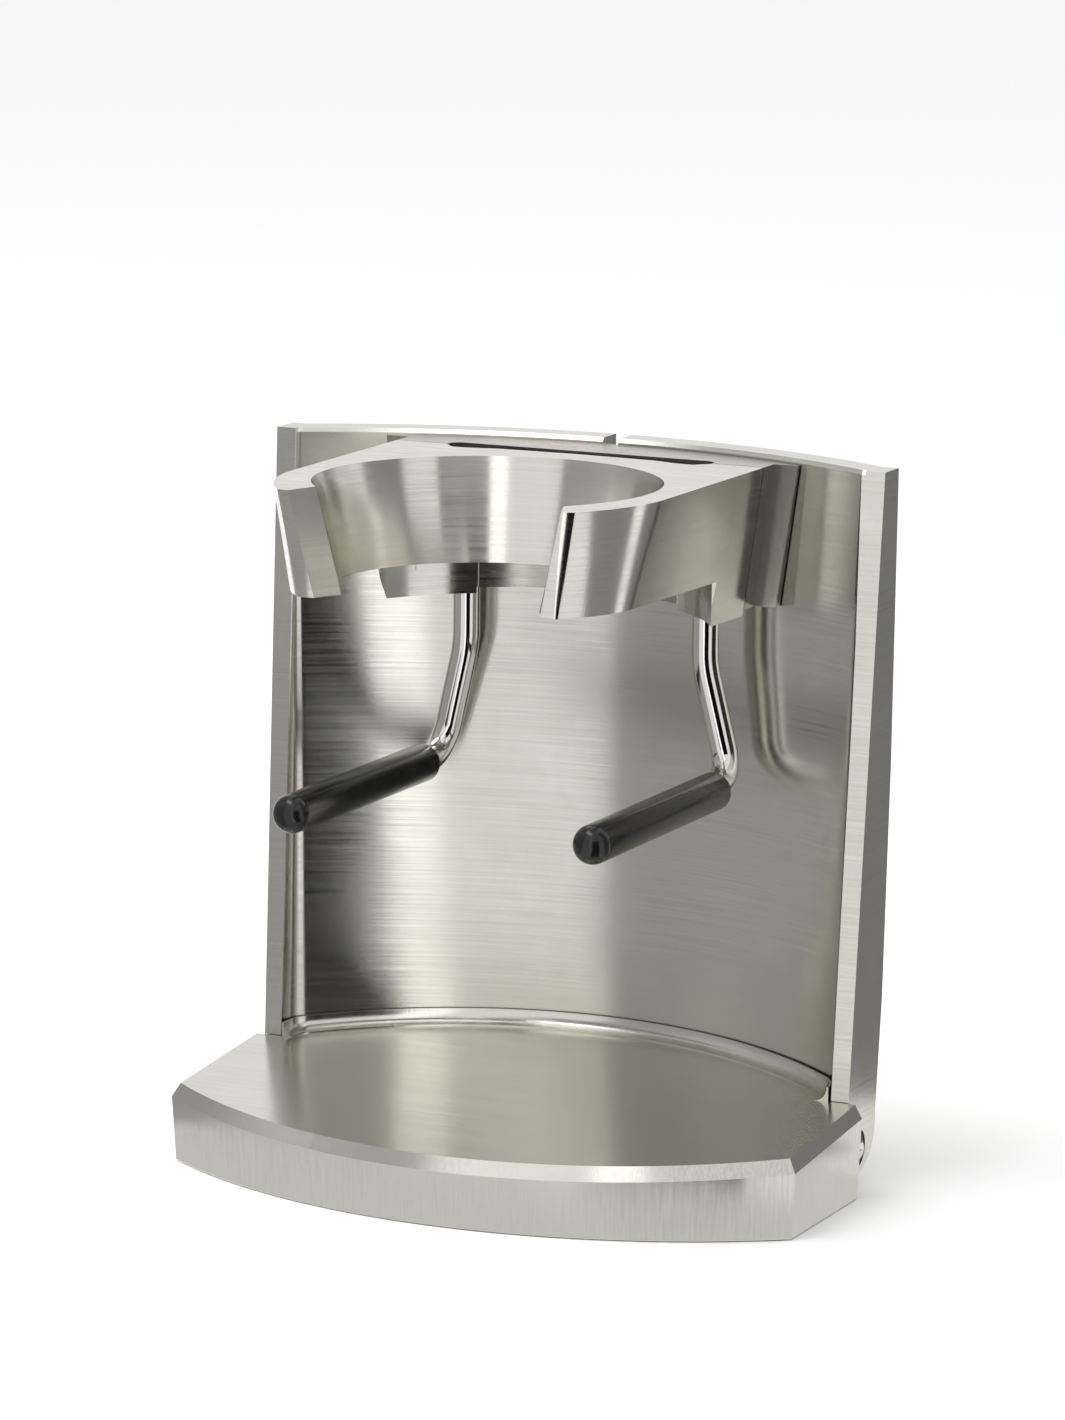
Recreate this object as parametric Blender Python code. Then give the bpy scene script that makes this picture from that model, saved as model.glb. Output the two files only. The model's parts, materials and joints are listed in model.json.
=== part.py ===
"""Countertop stand: bow-front base, hinged concave back, open ring yoke and two sleeved arms.

Design lengths are in millimetres, with Y = 0 at the base's front corners and the counter at Z = 0.
Pieces are cut and joined in millimetres, centred on the origin by centred(), and scaled to metres at the end.
"""
import math

import bmesh
import bpy
from mathutils import Matrix, Vector

# Base casting
BASE_HALF = 80.0          # half width
BASE_SAG = 26.5           # how far the bow front stands out from its corners
BASE_REAR = 40.6          # shoulders in front of the back's side flanges
BASE_UNDER = 0.3          # underside, held clear of the counter by the pad
BASE_DRAFT = 0.9
BEVEL_Z = 15.8            # foot of the edge bevel at the front corners
BASE_TOP_Z = 18.95        # top plane at the front corners
BASE_SLOPE = 0.092        # rise of the top towards the back
BEVEL_IN = 1.8
COVE_R = 3.4              # fillet along the foot of the back
PAD_INSET = 6.0
PAD_THICK = 1.6

# Back shell: every value pair is (at FOOT_Z, at TOP_Z)
FOOT_Z = 22.8
TOP_Z = 170.0
WALL_LOW_Z = 15.5
WALL = 8.0
STRIP_IN = (72.0, 73.6)
STRIP_OUT = (76.3, 78.4)
STRIP_FRONT = (41.2, 51.0)
STRIP_LIP = 1.0           # the panel starts this far behind the strip's face
PANEL_APEX = (72.0, 71.5)
PANEL_R = (110.0, 140.0)
PANEL_CORNER_R = (10.0, 3.0)
RIM_BEVEL = 0.9
SHELL_SOLVER = "MANIFOLD"  # the exact solver loses the wall at the notch
FLANGE_LAP = 0.12         # the flange's inner face stands this far proud of the panel's corner
NOTCH = (4.0, 3.0)
PLAY = 0.6                # between base and back
GAP = 0.3                 # between fixed neighbours

# Hinge
HINGE_Y = 48.0
HINGE_Z = 10.2
FLANGE_LOW_Z = 4.0
FLANGE_TOE_R = 6.8
HEEL_Y, HEEL_Z, HEEL_R = 47.6, 15.0, 11.0
PIN_R = 2.7
BUSH_R = 4.5
BOSS_R = 4.8

# Yoke: every value pair is (at YOKE_LOW, at YOKE_TOP)
YOKE_TOP = 168.7
YOKE_LOW = 144.2
LUG_LOW = 133.3
BORE_Y = 2.8
BORE_R = (35.2, 40.3)
JAW_OUTER = ((32.0, -29.3), (36.6, -30.7))
JAW_TIP = ((28.1, -29.3), (33.9, -31.3))
JAW_THROAT = ((24.8, -22.2), (30.9, -23.1))
CHEEK = ((38.6, -20.4), (43.4, -19.4))
CREASE = ((41.7, -7.0), (46.8, -5.0))
YOKE_HALF = (44.0, 47.3)
SEAM_Y = 53.0
LUG_ARC_Y, LUG_ARC_R = 13.3, 47.5
LUG_FRONT = 34.3
SLOT_HALF, SLOT_FRONT, SLOT_BACK, SLOT_FLOOR = 34.0, 50.4, 56.6, 160.0

# Mounting block
PLATE_FRONT = 59.3
PLATE_LEDGE = 6.0
SCREW_X, SCREW_Z = 40.0, (140.0, 162.5)
SCREW_R, HEAD_R, HEAD_LEN = 2.5, 4.25, 4.0
SEAT_Y = 71.0
SCREW_TIP_Y = 43.0
DOWEL_X, DOWEL_Z, DOWEL_R = 20.0, 152.0, 2.0
GRUB_Z, GRUB_R = 142.0, 2.0

# Arms
ROD_R = 3.2
ROD_ROUTE = ((31.1, 58.0, 149.0), (31.1, 58.0, 117.0), (38.1, 58.8, 104.2),
             (38.2, 59.5, 92.0), (38.2, -17.0, 92.0))
ROD_BENDS = (28.0, 15.0, 8.0)
SLEEVE_R, SLEEVE_BORE = 4.6, 3.4
SLEEVE_BACK, SLEEVE_TIP, SLEEVE_FLOOR = 49.0, -25.0, -17.6

MM = 0.001
WELD = 0.001              # points closer than this are one point
SIDES = (("left", -1), ("right", 1))


def lerp(pair, share):
    return pair[0] + (pair[1] - pair[0]) * share


def shell_value(pair, z):
    return lerp(pair, (z - FOOT_Z) / (TOP_Z - FOOT_Z))


def yoke_value(pair, z):
    return lerp(pair, (z - YOKE_LOW) / (YOKE_TOP - YOKE_LOW))


def yoke_point(pair, z):
    return tuple(yoke_value((pair[0][i], pair[1][i]), z) for i in range(2))


REAR_Y = shell_value(PANEL_APEX, WALL_LOW_Z) + WALL
CENTRE_Y = (REAR_Y + JAW_TIP[1][1]) / 2


def centred(point):
    x, y, z = point
    return Vector((x, y - CENTRE_Y, z))


# ---------------------------------------------------------------- outlines
def arc_through(a, b, c, steps):
    """Points of the arc from a through b to c, both ends included."""
    ax, ay, bx, by, cx, cy = *a, *b, *c
    d = 2 * (ax * (by - cy) + bx * (cy - ay) + cx * (ay - by))
    a2, b2, c2 = ax * ax + ay * ay, bx * bx + by * by, cx * cx + cy * cy
    ox = (a2 * (by - cy) + b2 * (cy - ay) + c2 * (ay - by)) / d
    oy = (a2 * (cx - bx) + b2 * (ax - cx) + c2 * (bx - ax)) / d
    radius = math.hypot(ax - ox, ay - oy)
    start, middle, end = (math.atan2(p[1] - oy, p[0] - ox) for p in (a, b, c))
    turn = (end - start) % (2 * math.pi)
    if (middle - start) % (2 * math.pi) > turn:
        turn -= 2 * math.pi
    angles = (start + turn * i / steps for i in range(steps + 1))
    return [(ox + radius * math.cos(t), oy + radius * math.sin(t)) for t in angles]


def mirrored(half):
    """A symmetric run of points from its right half, listed from right to left."""
    return half + [(-x, y) for x, y in reversed(half) if abs(x) > 1e-9]


def panel_half(z, offset=0.0, from_y=None, corner_steps=8, arc_steps=20):
    """Right half of the concave front face, from the side strip to the middle."""
    apex = shell_value(PANEL_APEX, z) - offset
    radius = shell_value(PANEL_R, z) - offset
    corner = shell_value(PANEL_CORNER_R, z) - min(offset, 1.0)
    side = shell_value(STRIP_IN, z) - offset
    start_y = shell_value(STRIP_FRONT, z) if from_y is None else from_y
    centre_y = apex - radius
    fillet_x = side - corner
    fillet_y = centre_y + math.sqrt((radius - corner) ** 2 - fillet_x ** 2)
    first = math.asin(max(-1.0, min(1.0, (start_y - fillet_y) / corner)))
    first = max(first, 0.0)
    last = math.atan2(fillet_y - centre_y, fillet_x)
    points = []
    for i in range(corner_steps + 1):
        t = first + (last - first) * i / corner_steps
        points.append((fillet_x + corner * math.cos(t), fillet_y + corner * math.sin(t)))
    for i in range(1, arc_steps + 1):
        t = last + (math.pi / 2 - last) * i / arc_steps
        points.append((radius * math.cos(t), centre_y + radius * math.sin(t)))
    points[-1] = (0.0, apex)
    return points


def wall_back(x, z):
    radius = shell_value(PANEL_R, z)
    centre_y = shell_value(PANEL_APEX, z) - radius
    return centre_y + math.sqrt((radius + WALL) ** 2 - x * x)


def base_outline(inset):
    """Plan of the base: bow front, straight sides, and a tongue that follows the back."""
    half = BASE_HALF - inset
    front = arc_through((-half, inset * 0.6), (0.0, inset - BASE_SAG), (half, inset * 0.6), 40)
    tongue = panel_half(FOOT_Z, PLAY, from_y=BASE_REAR)
    return front + [(half, BASE_REAR), (tongue[0][0], BASE_REAR)] + mirrored(tongue) + [
        (-tongue[0][0], BASE_REAR), (-half, BASE_REAR)]


# ---------------------------------------------------------------- meshes
def make_object(name, verts, faces, material=None):
    mesh = bpy.data.meshes.new(name)
    mesh.from_pydata([centred(v) for v in verts], [], faces)
    bm = bmesh.new()
    bm.from_mesh(mesh)
    bmesh.ops.remove_doubles(bm, verts=bm.verts, dist=WELD)
    bmesh.ops.recalc_face_normals(bm, faces=bm.faces)
    bmesh.ops.triangulate(bm, faces=[f for f in bm.faces if len(f.verts) == 4])
    bm.to_mesh(mesh)
    bm.free()
    if material:
        mesh.materials.append(material)
    obj = bpy.data.objects.new(name, mesh)
    bpy.context.scene.collection.objects.link(obj)
    return obj


def loft(name, rings, material=None):
    """A closed body through rings of equally many points."""
    count = len(rings[0])
    verts = [p for ring in rings for p in ring]
    faces = [tuple(range(count)), tuple(range((len(rings) - 1) * count, len(rings) * count))]
    for level in range(len(rings) - 1):
        low, high = level * count, (level + 1) * count
        for i in range(count):
            j = (i + 1) % count
            faces.append((low + i, low + j, high + j, high + i))
    return make_object(name, verts, faces, material)


def prism(name, outline, z_low, z_high, material=None):
    return loft(name, [[(x, y, z) for x, y in outline] for z in (z_low, z_high)], material)


def turned(name, profile, start, axis, material=None, steps=32):
    """A body turned about an axis; the profile lists (distance along the axis, radius)."""
    axis = Vector(axis).normalized()
    side = axis.orthogonal().normalized()
    up = axis.cross(side)
    start = Vector(start)
    verts, rows = [], []
    for along, radius in profile:
        if radius < 1e-9:
            rows.append([len(verts)] * steps)
            verts.append(start + axis * along)
            continue
        rows.append(list(range(len(verts), len(verts) + steps)))
        for i in range(steps):
            t = 2 * math.pi * i / steps
            verts.append(start + axis * along + (side * math.cos(t) + up * math.sin(t)) * radius)
    faces = []
    for low, high in zip(rows, rows[1:] + rows[:1]):
        for i in range(steps):
            j = (i + 1) % steps
            corners = list(dict.fromkeys((low[i], low[j], high[j], high[i])))
            if len(corners) > 2:
                faces.append(corners)
    return make_object(name, verts, faces, material)


def rod(name, start, axis, length, radius, material=None, steps=32, chamfer=0.0):
    profile = [(0.0, 0.0), (0.0, radius - chamfer), (chamfer, radius), (length - chamfer, radius),
               (length, radius - chamfer), (length, 0.0)]
    if chamfer == 0.0:
        profile = [(0.0, 0.0), (0.0, radius), (length, radius), (length, 0.0)]
    return turned(name, profile, start, axis, material, steps)


def rounded_route(route, bends, steps=8):
    """A polyline whose corners are replaced with arcs."""
    points = [Vector(route[0])]
    for before, corner, after, radius in zip(route, route[1:], route[2:], bends):
        corner = Vector(corner)
        back = (Vector(before) - corner).normalized()
        ahead = (Vector(after) - corner).normalized()
        half = back.angle(ahead) / 2
        reach = radius / math.tan(half)
        middle = corner + (back + ahead).normalized() * (radius / math.sin(half))
        first = corner + back * reach - middle
        last = corner + ahead * reach - middle
        points += [middle + first.slerp(last, i / steps) * radius for i in range(steps + 1)]
    return points + [Vector(route[-1])]


def tube(name, points, radius, material, steps=20):
    """A round bar along a route, with flat ends."""
    frame = (points[1] - points[0]).orthogonal().normalized()
    rings = []
    for i, point in enumerate(points):
        ahead = (points[min(i + 1, len(points) - 1)] - points[max(i - 1, 0)]).normalized()
        frame = (frame - ahead * frame.dot(ahead)).normalized()
        other = ahead.cross(frame)
        turns = (2 * math.pi * k / steps for k in range(steps))
        rings.append([point + (frame * math.cos(t) + other * math.sin(t)) * radius for t in turns])
    return loft(name, rings, material)


def boolean(target, tool, operation, solver="EXACT"):
    """Apply one Boolean and delete its tool."""
    modifier = target.modifiers.new(operation.lower(), "BOOLEAN")
    modifier.operation = operation
    modifier.solver = solver
    modifier.object = tool
    depsgraph = bpy.context.evaluated_depsgraph_get()
    result = bpy.data.meshes.new_from_object(target.evaluated_get(depsgraph))
    bm = bmesh.new()
    bm.from_mesh(result)
    bmesh.ops.remove_doubles(bm, verts=bm.verts, dist=WELD)
    bmesh.ops.dissolve_degenerate(bm, edges=bm.edges, dist=WELD)
    bm.to_mesh(result)
    bm.free()
    target.modifiers.clear()
    old = target.data
    name = old.name
    target.data = result
    bpy.data.meshes.remove(old)
    result.name = name
    bpy.data.objects.remove(tool)


def cut(target, tool, solver="EXACT"):
    boolean(target, tool, "DIFFERENCE", solver)


def join(target, tool, solver="EXACT"):
    boolean(target, tool, "UNION", solver)


def make_material(name, colour, roughness, metallic):
    material = bpy.data.materials.new(name)
    material.use_nodes = True
    shader = material.node_tree.nodes["Principled BSDF"]
    shader.inputs["Base Color"].default_value = (*colour, 1.0)
    shader.inputs["Roughness"].default_value = roughness
    shader.inputs["Metallic"].default_value = metallic
    material.diffuse_color = (*colour, 1.0)
    return material


# ---------------------------------------------------------------- pieces
def base_top(y):
    return BASE_TOP_Z + BASE_SLOPE * y


def build_base(steel):
    rings = [[(x, y, BASE_UNDER) for x, y in base_outline(BASE_DRAFT)],
             [(x, y, BEVEL_Z + BASE_SLOPE * y) for x, y in base_outline(0.0)],
             [(x, y, base_top(y)) for x, y in base_outline(BEVEL_IN)]]
    base = loft("base_casting", rings, steel)
    join(base, cove())
    for _, side in SIDES:
        join(base, rod("boss", (side * 55.0, HINGE_Y, HINGE_Z), (side, 0, 0), 16.4, BOSS_R))
        cut(base, rod("pin_hole", (side * 57.7, HINGE_Y, HINGE_Z), (side, 0, 0), 16.0, PIN_R + GAP))
    cut(base, prism("pad_recess", pad_outline(PAD_INSET - GAP), -1.0, PAD_THICK + GAP))
    return base


def cove():
    """Fillet strip that rises from the base's top along the foot of the back."""
    run = mirrored(panel_half(FOOT_Z, PLAY, from_y=BASE_REAR))
    profile = [(0.0, -1.5), (0.0, COVE_R), (0.4, COVE_R)]
    reach = COVE_R - 0.4
    for i in range(1, 6):
        t = math.pi / 2 * i / 6
        profile.append((COVE_R - reach * math.cos(t), COVE_R - COVE_R * math.sin(t)))
    profile += [(COVE_R, 0.05), (COVE_R, -1.5)]
    rings = []
    for i, (x, y) in enumerate(run):
        ahead = run[min(i + 1, len(run) - 1)]
        behind = run[max(i - 1, 0)]
        along = Vector((ahead[0] - behind[0], ahead[1] - behind[1])).normalized()
        inward = Vector((-along.y, along.x))
        rings.append([(x + inward.x * d, y + inward.y * d, base_top(y) + h) for d, h in profile])
    return loft("cove", rings)


def pad_outline(inset):
    half = BASE_HALF - inset
    front = arc_through((-half, 1.0), (0.0, inset - BASE_SAG), (half, 1.0), 24)
    return front + [(half, BASE_REAR - inset), (-half, BASE_REAR - inset)]


def build_pad(rubber):
    return prism("base_pad", pad_outline(PAD_INSET), 0.0, PAD_THICK, rubber)


def flange_outline():
    """Side flange in the YZ plane: leaning front, upright back, rounded heel and toe."""
    points = [(STRIP_FRONT[1], TOP_Z), (STRIP_FRONT[0], FOOT_Z)]
    lowest = math.asin((HINGE_Z - FLANGE_LOW_Z) / FLANGE_TOE_R)
    for i in range(7):
        t = math.pi + lowest * i / 6
        points.append((HINGE_Y + FLANGE_TOE_R * math.cos(t), HINGE_Z + FLANGE_TOE_R * math.sin(t)))
    for i in range(11):
        t = -math.pi / 2 + (math.pi / 2 + 0.2) * i / 10
        points.append((HEEL_Y + HEEL_R * math.cos(t), HEEL_Z + HEEL_R * math.sin(t)))
    return points + [(60.4, 44.0), (61.0, 100.0), (59.5, TOP_Z)]


def build_shell(steel):
    rings = []
    for z in (WALL_LOW_Z, 27.0, 60.0, 95.0, 130.0, TOP_Z - RIM_BEVEL, TOP_Z):
        front_y = shell_value(STRIP_FRONT, z) + STRIP_LIP
        edge_x = shell_value(STRIP_IN, z) + 2.0
        rim = RIM_BEVEL if z == TOP_Z else 0.0
        face = [(x, y + rim) for x, y in panel_half(z, from_y=front_y)]
        back = [(edge_x * (1 - i / 20), wall_back(edge_x * (1 - i / 20), z)) for i in range(21)]
        front_run = mirrored([(edge_x, front_y + rim)] + face)
        back_run = mirrored(back)
        rings.append([(x, y, z) for x, y in front_run + back_run[::-1]])
    shell = loft("back_shell", rings, steel)
    width, depth = NOTCH
    notch = [(width / 2, 60.0), (width / 2, 90.0), (-width / 2, 90.0), (-width / 2, 60.0)]
    cut(shell, prism("notch", notch, TOP_Z - depth, TOP_Z + 5.0), SHELL_SOLVER)
    outline = flange_outline()
    for _, side in SIDES:
        inner = [(side * (shell_value(STRIP_IN, z) - FLANGE_LAP), y, z) for y, z in outline]
        outer = [(side * shell_value(STRIP_OUT, z), y, z) for y, z in outline]
        join(shell, loft("flange", [inner, outer]), SHELL_SOLVER)
        cut(shell, rod("bush_hole", (side * 65.0, HINGE_Y, HINGE_Z), (side, 0, 0), 20.0, BUSH_R + 0.15),
            SHELL_SOLVER)
        for z in SCREW_Z:
            cut(shell, rod("screw_hole", (side * SCREW_X, 55.0, z), (0, 1, 0), 30.0, SCREW_R + GAP),
                SHELL_SOLVER)
            cut(shell, rod("spot_face", (side * SCREW_X, SEAT_Y, z), (0, 1, 0), 15.0, HEAD_R + 0.9),
                SHELL_SOLVER)
    return shell


def yoke_section(z):
    """C-shaped plan of the yoke at one height, jaws towards -Y."""
    outer = arc_through(yoke_point(JAW_OUTER, z), yoke_point(CHEEK, z), yoke_point(CREASE, z), 12)
    half = yoke_value(YOKE_HALF, z)
    right = outer + [(half, SEAM_Y)]
    throat = yoke_point(JAW_THROAT, z)
    radius = yoke_value(BORE_R, z)
    start = math.atan2(throat[1] - BORE_Y, throat[0])
    bore = []
    for i in range(37):
        t = start + (math.pi / 2 - start) * i / 36
        bore.append((radius * math.cos(t), BORE_Y + radius * math.sin(t)))
    bore[-1] = (0.0, BORE_Y + radius)
    inner = [yoke_point(JAW_TIP, z)] + bore
    left = [(-x, y) for x, y in reversed(right)]
    return [(x, y, z) for x, y in right + left + mirrored(inner)[::-1]]


def under_cut():
    """Everything below the ring except the two lugs and the crossbar."""
    reach = math.sqrt(LUG_ARC_R ** 2 - (LUG_FRONT - LUG_ARC_Y) ** 2)
    arc = arc_through((reach, LUG_FRONT), (0.0, LUG_ARC_Y + LUG_ARC_R), (-reach, LUG_FRONT), 40)
    outline = [(-70.0, -60.0), (70.0, -60.0), (70.0, LUG_FRONT)] + arc + [(-70.0, LUG_FRONT)]
    return prism("under_cut", outline, LUG_LOW - 5.0, YOKE_LOW)


def slot_tool():
    """Shallow curved pocket across the seam."""
    half, front, back = SLOT_HALF, SLOT_FRONT, SLOT_BACK
    outline = [(half, SEAM_Y - 0.5), (half - 3.0, front - 1.2), (half - 7.0, front - 1.0), (20.0, front + 0.8),
               (0.0, front + 1.6), (-20.0, front + 0.8), (7.0 - half, front - 1.0), (3.0 - half, front - 1.2),
               (-half, SEAM_Y - 0.5), (-half, back - 1.5), (2.0 - half, back), (half - 2.0, back),
               (half, back - 1.5)]
    return prism("slot_tool", outline, SLOT_FLOOR, YOKE_TOP + 5.0)


def build_yoke(steel):
    yoke = loft("yoke_ring", [yoke_section(z) for z in (LUG_LOW, YOKE_TOP)], steel)
    cut(yoke, under_cut())
    cut(yoke, slot_tool())
    for _, side in SIDES:
        for z in SCREW_Z:
            start = (side * SCREW_X, SCREW_TIP_Y - GAP, z)
            cut(yoke, rod("screw_hole", start, (0, 1, 0), 20.0, SCREW_R + GAP))
        start = (side * DOWEL_X, 46.0 - GAP, DOWEL_Z)
        cut(yoke, rod("dowel_hole", start, (0, 1, 0), 20.0, DOWEL_R + GAP))
    return yoke


def block_section(z):
    half = yoke_value(YOKE_HALF, z)
    wide = half + PLATE_LEDGE * (0.9 + 0.1 * (z - LUG_LOW) / (YOKE_TOP - LUG_LOW))
    radius = shell_value(PANEL_R, z) - GAP
    centre_y = shell_value(PANEL_APEX, z) - GAP - radius
    xs = [wide * (1 - i / 20) for i in range(21)]
    rear = [(x, centre_y + math.sqrt(radius * radius - x * x)) for x in xs]
    rear[-1] = (0.0, centre_y + radius)
    right = [(half, SEAM_Y + GAP), (half, PLATE_FRONT), (wide, PLATE_FRONT)] + rear
    return [(x, y, z) for x, y in mirrored(right)]


def build_block(steel):
    block = loft("mounting_block", [block_section(z) for z in (LUG_LOW + 1.5, YOKE_TOP)], steel)
    cut(block, under_cut())
    cut(block, slot_tool())
    for _, side in SIDES:
        for z in SCREW_Z:
            cut(block, rod("screw_hole", (side * SCREW_X, 50.0, z), (0, 1, 0), 30.0, SCREW_R + GAP))
        cut(block, rod("dowel_hole", (side * DOWEL_X, 50.0, DOWEL_Z), (0, 1, 0), 11.0 + GAP, DOWEL_R + GAP))
        top = (side * ROD_ROUTE[0][0], ROD_ROUTE[0][1], ROD_ROUTE[0][2] + GAP)
        cut(block, rod("rod_hole", top, (0, 0, -1), 30.0, ROD_R + GAP))
        start = (side * ROD_ROUTE[0][0], ROD_ROUTE[0][1], GRUB_Z)
        cut(block, rod("grub_hole", start, (0, 1, 0), 30.0, GRUB_R + GAP))
    return block


def build_arm(name, side, steel):
    route = [(side * x, y, z) for x, y, z in ROD_ROUTE]
    return tube(name, rounded_route(route, ROD_BENDS), ROD_R, steel)


def build_sleeve(name, side, rubber):
    length = SLEEVE_BACK - SLEEVE_TIP
    dome = length - SLEEVE_R
    profile = [(0.0, SLEEVE_BORE), (0.0, SLEEVE_R - 0.7), (0.25, SLEEVE_R - 0.2), (0.8, SLEEVE_R),
               (dome, SLEEVE_R)]
    for i in range(1, 8):
        t = math.pi / 2 * i / 8
        profile.append((dome + SLEEVE_R * math.sin(t), SLEEVE_R * math.cos(t)))
    depth = SLEEVE_BACK - SLEEVE_FLOOR
    profile += [(length, 0.0), (depth, 0.0), (depth, SLEEVE_BORE)]
    start = (side * ROD_ROUTE[-1][0], SLEEVE_BACK, ROD_ROUTE[-1][2])
    return turned(name, profile, start, (0, -1, 0), rubber, 28)


def build_pin(name, side, steel):
    """Pin pressed into the base, with a low domed end in the flange."""
    length = 18.0
    profile = [(0.0, 0.0), (0.0, PIN_R), (length, PIN_R), (length + 0.6, PIN_R * 0.9),
               (length + 1.1, PIN_R * 0.6), (length + 1.3, 0.0)]
    return turned(name, profile, (side * 58.0, HINGE_Y, HINGE_Z), (side, 0, 0), steel, 28)


def build_bush(name, side, bronze):
    start = shell_value(STRIP_IN, HINGE_Z) + 0.05
    length = shell_value(STRIP_OUT, HINGE_Z) - start - 0.3
    bore = PIN_R + 0.06
    profile = [(0.0, bore), (0.0, BUSH_R), (length, BUSH_R), (length, bore)]
    return turned(name, profile, (side * start, HINGE_Y, HINGE_Z), (side, 0, 0), bronze, 28)


def build_cap_screw(name, side, z, steel):
    """Socket screw from behind: head, shank, and a hexagon socket."""
    length = SEAT_Y + GAP - SCREW_TIP_Y
    profile = [(0.0, 0.0), (0.0, SCREW_R - 0.4), (0.4, SCREW_R), (length, SCREW_R), (length, HEAD_R),
               (length + HEAD_LEN - 0.5, HEAD_R), (length + HEAD_LEN, HEAD_R - 0.5), (length + HEAD_LEN, 0.0)]
    screw = turned(name, profile, (side * SCREW_X, SCREW_TIP_Y, z), (0, 1, 0), steel, 28)
    socket = (side * SCREW_X, SCREW_TIP_Y + length + HEAD_LEN - 2.2, z)
    cut(screw, rod("socket", socket, (0, 1, 0), 6.0, 2.3, steps=6))
    return screw


def hang_on_hinge(pieces):
    """Parent the moving pieces to an empty on the hinge axis, leaving them where they are."""
    pivot = bpy.data.objects.new("back_pivot", None)
    pivot.location = centred((0.0, HINGE_Y, HINGE_Z)) * MM
    bpy.context.scene.collection.objects.link(pivot)
    for piece in pieces:
        piece.parent = pivot
        piece.matrix_parent_inverse = Matrix.Translation(-pivot.location)


def main():
    for old in list(bpy.data.objects):
        bpy.data.objects.remove(old, do_unlink=True)
    brushed = make_material("brushed_steel", (0.60, 0.59, 0.56), 0.30, 1.0)
    polished = make_material("polished_steel", (0.66, 0.65, 0.62), 0.12, 1.0)
    dark_steel = make_material("dark_steel", (0.10, 0.10, 0.10), 0.35, 1.0)
    sleeve_rubber = make_material("sleeve_rubber", (0.008, 0.008, 0.009), 0.12, 0.0)
    pad_rubber = make_material("pad_rubber", (0.03, 0.03, 0.03), 0.80, 0.0)
    bush_metal = make_material("bush_metal", (0.06, 0.06, 0.055), 0.45, 1.0)

    build_base(brushed)
    build_pad(pad_rubber)
    moving = [build_shell(brushed), build_block(brushed), build_yoke(brushed)]
    for label, side in SIDES:
        build_pin(f"pivot_pin_{label}", side, polished)
        moving.append(build_bush(f"pivot_bush_{label}", side, bush_metal))
        moving.append(build_arm(f"arm_{label}", side, polished))
        moving.append(build_sleeve(f"sleeve_{label}", side, sleeve_rubber))
        for height, z in zip(("low", "high"), SCREW_Z):
            moving.append(build_cap_screw(f"cap_screw_{label}_{height}", side, z, dark_steel))
        start = (side * DOWEL_X, 46.0, DOWEL_Z)
        moving.append(rod(f"dowel_{label}", start, (0, 1, 0), 15.0, DOWEL_R, dark_steel, 24, 0.3))
        start = (side * ROD_ROUTE[0][0], ROD_ROUTE[0][1] + ROD_R + GAP, GRUB_Z)
        moving.append(rod(f"grub_screw_{label}", start, (0, 1, 0), 4.5, GRUB_R, dark_steel, 24, 0.3))
    hang_on_hinge(moving)
    for obj in bpy.data.objects:
        if obj.type == "MESH":
            obj.data.transform(Matrix.Scale(MM, 4))
            obj.data.shade_smooth()
            obj.data.set_sharp_from_angle(angle=math.radians(30))


main()
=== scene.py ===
"""Looks of the shaving mug stand: finer pieces, brushed and polished metal, studio and camera.

The shape functions follow the part's own ones, in millimetres, with finer steps; metres come at the end.
ROD_ROUTE, ROD_BENDS and STRIP_LIP differ from the part's: straighter rods, and a cleaner rim corner.
"""

import json
import math

import bmesh
import bpy
from mathutils import Matrix, Vector

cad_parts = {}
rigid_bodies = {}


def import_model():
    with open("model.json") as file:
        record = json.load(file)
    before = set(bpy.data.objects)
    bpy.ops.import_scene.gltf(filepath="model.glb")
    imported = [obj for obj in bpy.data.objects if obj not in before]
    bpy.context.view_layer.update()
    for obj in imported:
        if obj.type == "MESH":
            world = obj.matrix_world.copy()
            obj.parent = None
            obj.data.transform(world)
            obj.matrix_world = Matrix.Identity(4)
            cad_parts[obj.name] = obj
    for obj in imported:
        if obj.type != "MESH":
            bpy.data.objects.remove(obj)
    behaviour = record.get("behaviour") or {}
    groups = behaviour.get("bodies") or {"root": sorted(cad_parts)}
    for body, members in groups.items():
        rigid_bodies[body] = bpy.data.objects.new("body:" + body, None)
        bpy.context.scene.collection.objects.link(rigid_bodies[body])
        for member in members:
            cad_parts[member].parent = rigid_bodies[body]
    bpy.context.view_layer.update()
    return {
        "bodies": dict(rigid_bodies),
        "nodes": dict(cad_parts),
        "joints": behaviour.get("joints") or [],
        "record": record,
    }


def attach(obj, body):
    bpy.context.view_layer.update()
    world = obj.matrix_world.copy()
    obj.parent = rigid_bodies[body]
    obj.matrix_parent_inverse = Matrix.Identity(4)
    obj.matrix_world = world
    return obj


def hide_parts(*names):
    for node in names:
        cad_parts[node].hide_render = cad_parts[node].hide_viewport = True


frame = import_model()

# Base casting
BASE_HALF = 80.0          # half width
BASE_SAG = 26.5           # how far the bow front stands out from its corners
BASE_REAR = 40.6          # shoulders in front of the back's side flanges
BASE_UNDER = 0.3          # underside, held clear of the counter by the pad
BASE_DRAFT = 0.9
BEVEL_Z = 15.8            # foot of the edge bevel at the front corners
BASE_TOP_Z = 18.95        # top plane at the front corners
BASE_SLOPE = 0.092        # rise of the top towards the back
BEVEL_IN = 1.8
COVE_R = 3.4              # fillet along the foot of the back
PAD_INSET = 6.0
PAD_THICK = 1.6

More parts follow.
